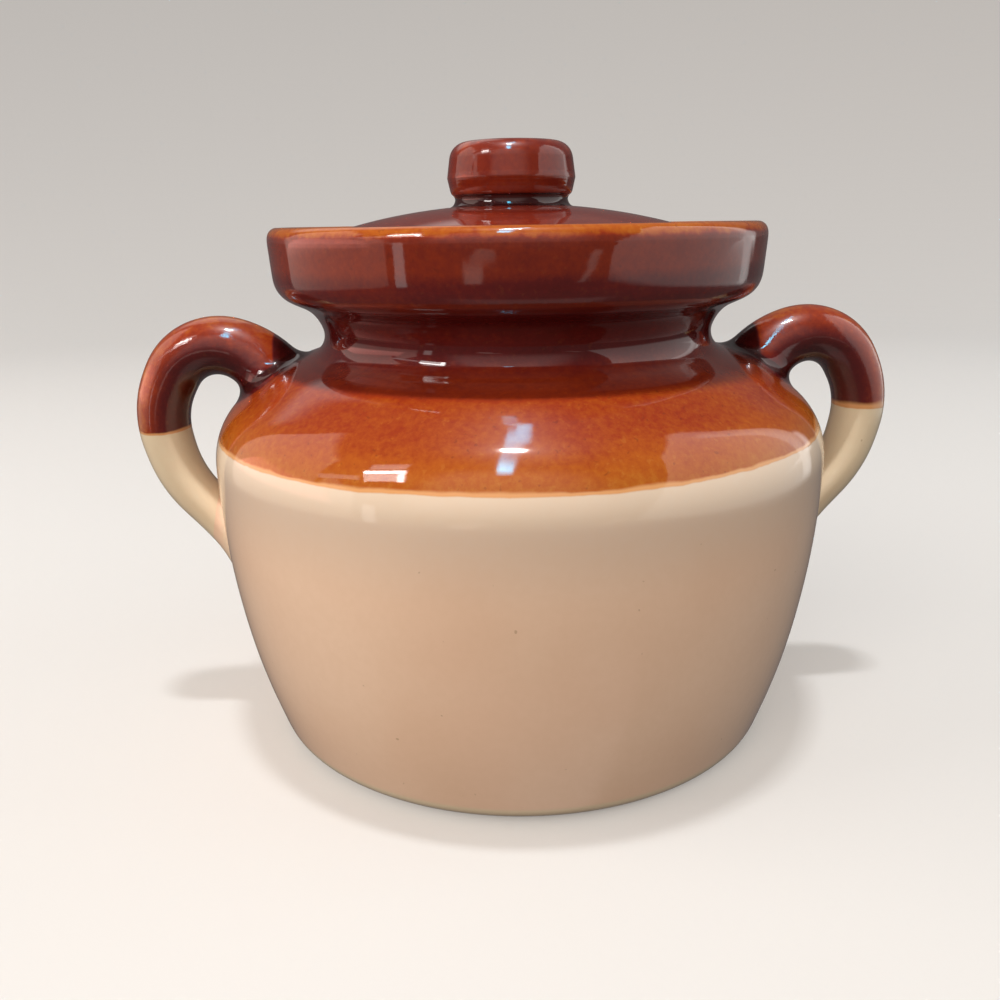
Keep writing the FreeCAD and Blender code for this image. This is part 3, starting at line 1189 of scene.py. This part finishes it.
def glow_material(name, tint, low, high, soft_sides=0.02, soft_ends=0.08):
    """A glow that goes from low at a card's first edge to high at the opposite one, with soft borders."""
    material, tree = new_material(name)
    material.cycles.emission_sampling = "NONE"
    tree.nodes.remove(tree.nodes["Principled BSDF"])
    place = parts_of(coordinates(tree, "UV"))
    strength = ramp(place["Y"], 0.0, 1.0, low, high, smooth=False)
    glow = add_node(tree, "Emission", enumerate((tint, strength)))
    shown = 1.0
    for along, soft in (("X", soft_sides), ("Y", soft_ends)):
        from_edge = math_node("PINGPONG", place[along], 0.5)
        shown = product(ramp(from_edge, 0.0, soft), shown)
    clear = add_node(tree, "BsdfTransparent")
    card = add_node(tree, "MixShader", enumerate((shown, clear.outputs[0], glow.outputs[0])))
    feed(tree.nodes["Material Output"], "Surface", card.outputs[0])
    return material


def light_panel(name, corners, distance, *glow):
    """A glowing card that shows only in the glaze. Its corners are directions from the pot."""
    select_none()
    bpy.ops.mesh.primitive_plane_add(size=1)
    panel = bpy.context.active_object
    panel.name = name
    for vertex, (azimuth, elevation) in zip(panel.data.vertices, (corners[i] for i in (0, 1, 3, 2))):
        vertex.co = from_pot(azimuth, elevation, distance)
    panel.data.materials.append(glow_material(name, *glow))
    panel.visible_camera = False
    panel.visible_diffuse = False
    panel.visible_transmission = False
    panel.visible_shadow = False


def area_light(name, place, aim, size, power, tint, glossy=False):
    """A rectangular lamp that faces its aim. It shows in the glaze only if it is glossy."""
    light = bpy.data.lights.new(name, "AREA")
    light.shape = "RECTANGLE"
    light.size, light.size_y = size
    light.energy = power
    light.color = tint
    lamp = bpy.data.objects.new(name, light)
    lamp.location = place
    lamp.rotation_euler = (Vector(aim) - Vector(place)).to_track_quat("-Z", "Y").to_euler()
    lamp.visible_glossy = glossy
    bpy.context.scene.collection.objects.link(lamp)
    return lamp


def floor_material():
    """A pale matt surface that glows faintly."""
    material, tree = new_material("pale floor")
    material.cycles.emission_sampling = "NONE"
    for socket, value in floor_finish.items():
        feed(tree.nodes["Principled BSDF"], socket, value)
    return material


def make_floor():
    """A floor that curves up into a wall all round. It sheds no light on the pot."""
    outline = [(0, 0, 0), (sweep_radius, 0, sweep_rounding), (sweep_radius, sweep_height, 0)]
    select_none()
    bpy.ops.mesh.primitive_plane_add(size=mm, location=(0, 0, 0))
    floor = start_piece("studio_floor")
    draw_and_spin(rounded_outline(outline, step=sweep_step), 0.0, sweep_sides)
    select_all()
    bpy.ops.mesh.flip_normals()
    bpy.ops.object.mode_set(mode="OBJECT")
    floor.data.materials.append(floor_material())
    floor.visible_glossy = False
    floor.visible_diffuse = False
    return floor


def make_world():
    """Soft light from all round, plain behind the pot and dim in the glaze."""
    world = bpy.data.worlds.new("studio")
    bpy.context.scene.world = world
    world.use_nodes = True
    tree = world.node_tree
    path = add_node(tree, "LightPath")
    way = parts_of(coordinates(tree, "Generated"))
    shade = mixed(ramp(way["Z"], *world_span), world_below, world_above)
    shade = mixed(path.outputs["Is Camera Ray"], shade, world_seen)
    shade = mixed(path.outputs["Is Glossy Ray"], shade, world_mirrored)
    feed(tree.nodes["Background"], "Color", shade)


def make_camera():
    camera = bpy.data.cameras.new("camera")
    camera.lens = camera_lens
    camera.sensor_width = camera_sensor
    seen = bpy.data.objects.new("camera", camera)
    facing = Euler((math.radians(camera_tilt), 0, math.radians(camera_turn))).to_matrix().to_4x4()
    roll = Matrix.Rotation(math.radians(camera_roll), 4, "Z")
    seen.matrix_world = Matrix.Translation([part * mm for part in camera_place]) @ facing @ roll
    bpy.context.scene.collection.objects.link(seen)
    bpy.context.scene.camera = seen


def light_pieces(pieces, floor):
    """One overhead key for the pot, a weaker one for the floor, and soft fills in front and at the sides."""
    for key, lit in zip(keys, (pieces, [floor])):
        lamp = area_light(*key)
        receivers = bpy.data.collections.new(lamp.name + " lights")
        for obj in lit:
            receivers.objects.link(obj)
        lamp.light_linking.receiver_collection = receivers
    for name, place, power, tint in fills:
        area_light(name, place, fill_aim, fill_size, power, tint)


def part_of(corners, left, right, low, high):
    """The part of a four-cornered card between these shares of its width and of its height."""
    c0, c1, c2, c3 = [np.array(corner, float) for corner in corners]

    def spot(across, up):
        return tuple((c0 * (1 - across) + c1 * across) * (1 - up) + (c3 * (1 - across) + c2 * across) * up)

    return [spot(left, low), spot(right, low), spot(right, high), spot(left, high)]


def light_reflections():
    """What the glaze mirrors: a room with furniture, a window at the left and a strip overhead."""
    for card in room_cards:
        light_panel(*card)
    for name, shares, *strength in window_parts:
        light_panel(name, part_of(window, *shares), window_distance, grey, *strength)
    for card in ceiling_cards:
        light_panel(*card)


# ==== The scene ====


def main():
    pot = make_pot()
    right_handle, left_handle = make_handles()
    lid = make_lid()
    knob = make_knob()
    pieces = [pot, right_handle, left_handle, lid, knob]
    for piece in pieces:
        uneven_surface(piece)
    groups = {
        "brown": brown_glaze_group(),
        "clear": clear_glaze_group(),
        "dip": dip_line_group(),
        "bare": bare_clay_group(),
    }
    dipped = glazed_material("dipped stoneware", groups, dipped_coat)
    brown = glazed_material("brown glazed stoneware", groups, brown_coat)
    for piece, node, body, slot, material in (
        (pot, "pot", "pot", "dipped_stoneware", dipped),
        (right_handle, "right_handle", "pot", "dipped_stoneware", dipped),
        (left_handle, "left_handle", "pot", "dipped_stoneware", dipped),
        (lid, "lid", "lid", "brown_glaze", brown),
        (knob, "knob", "lid", "brown_glaze", brown),
    ):
        piece.data.materials.append(material)
        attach(piece, body)
        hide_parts(node)
    floor = make_floor()
    make_world()
    make_camera()
    light_pieces(pieces, floor)
    light_reflections()
    bpy.context.scene.view_settings.view_transform = "Standard"


main()
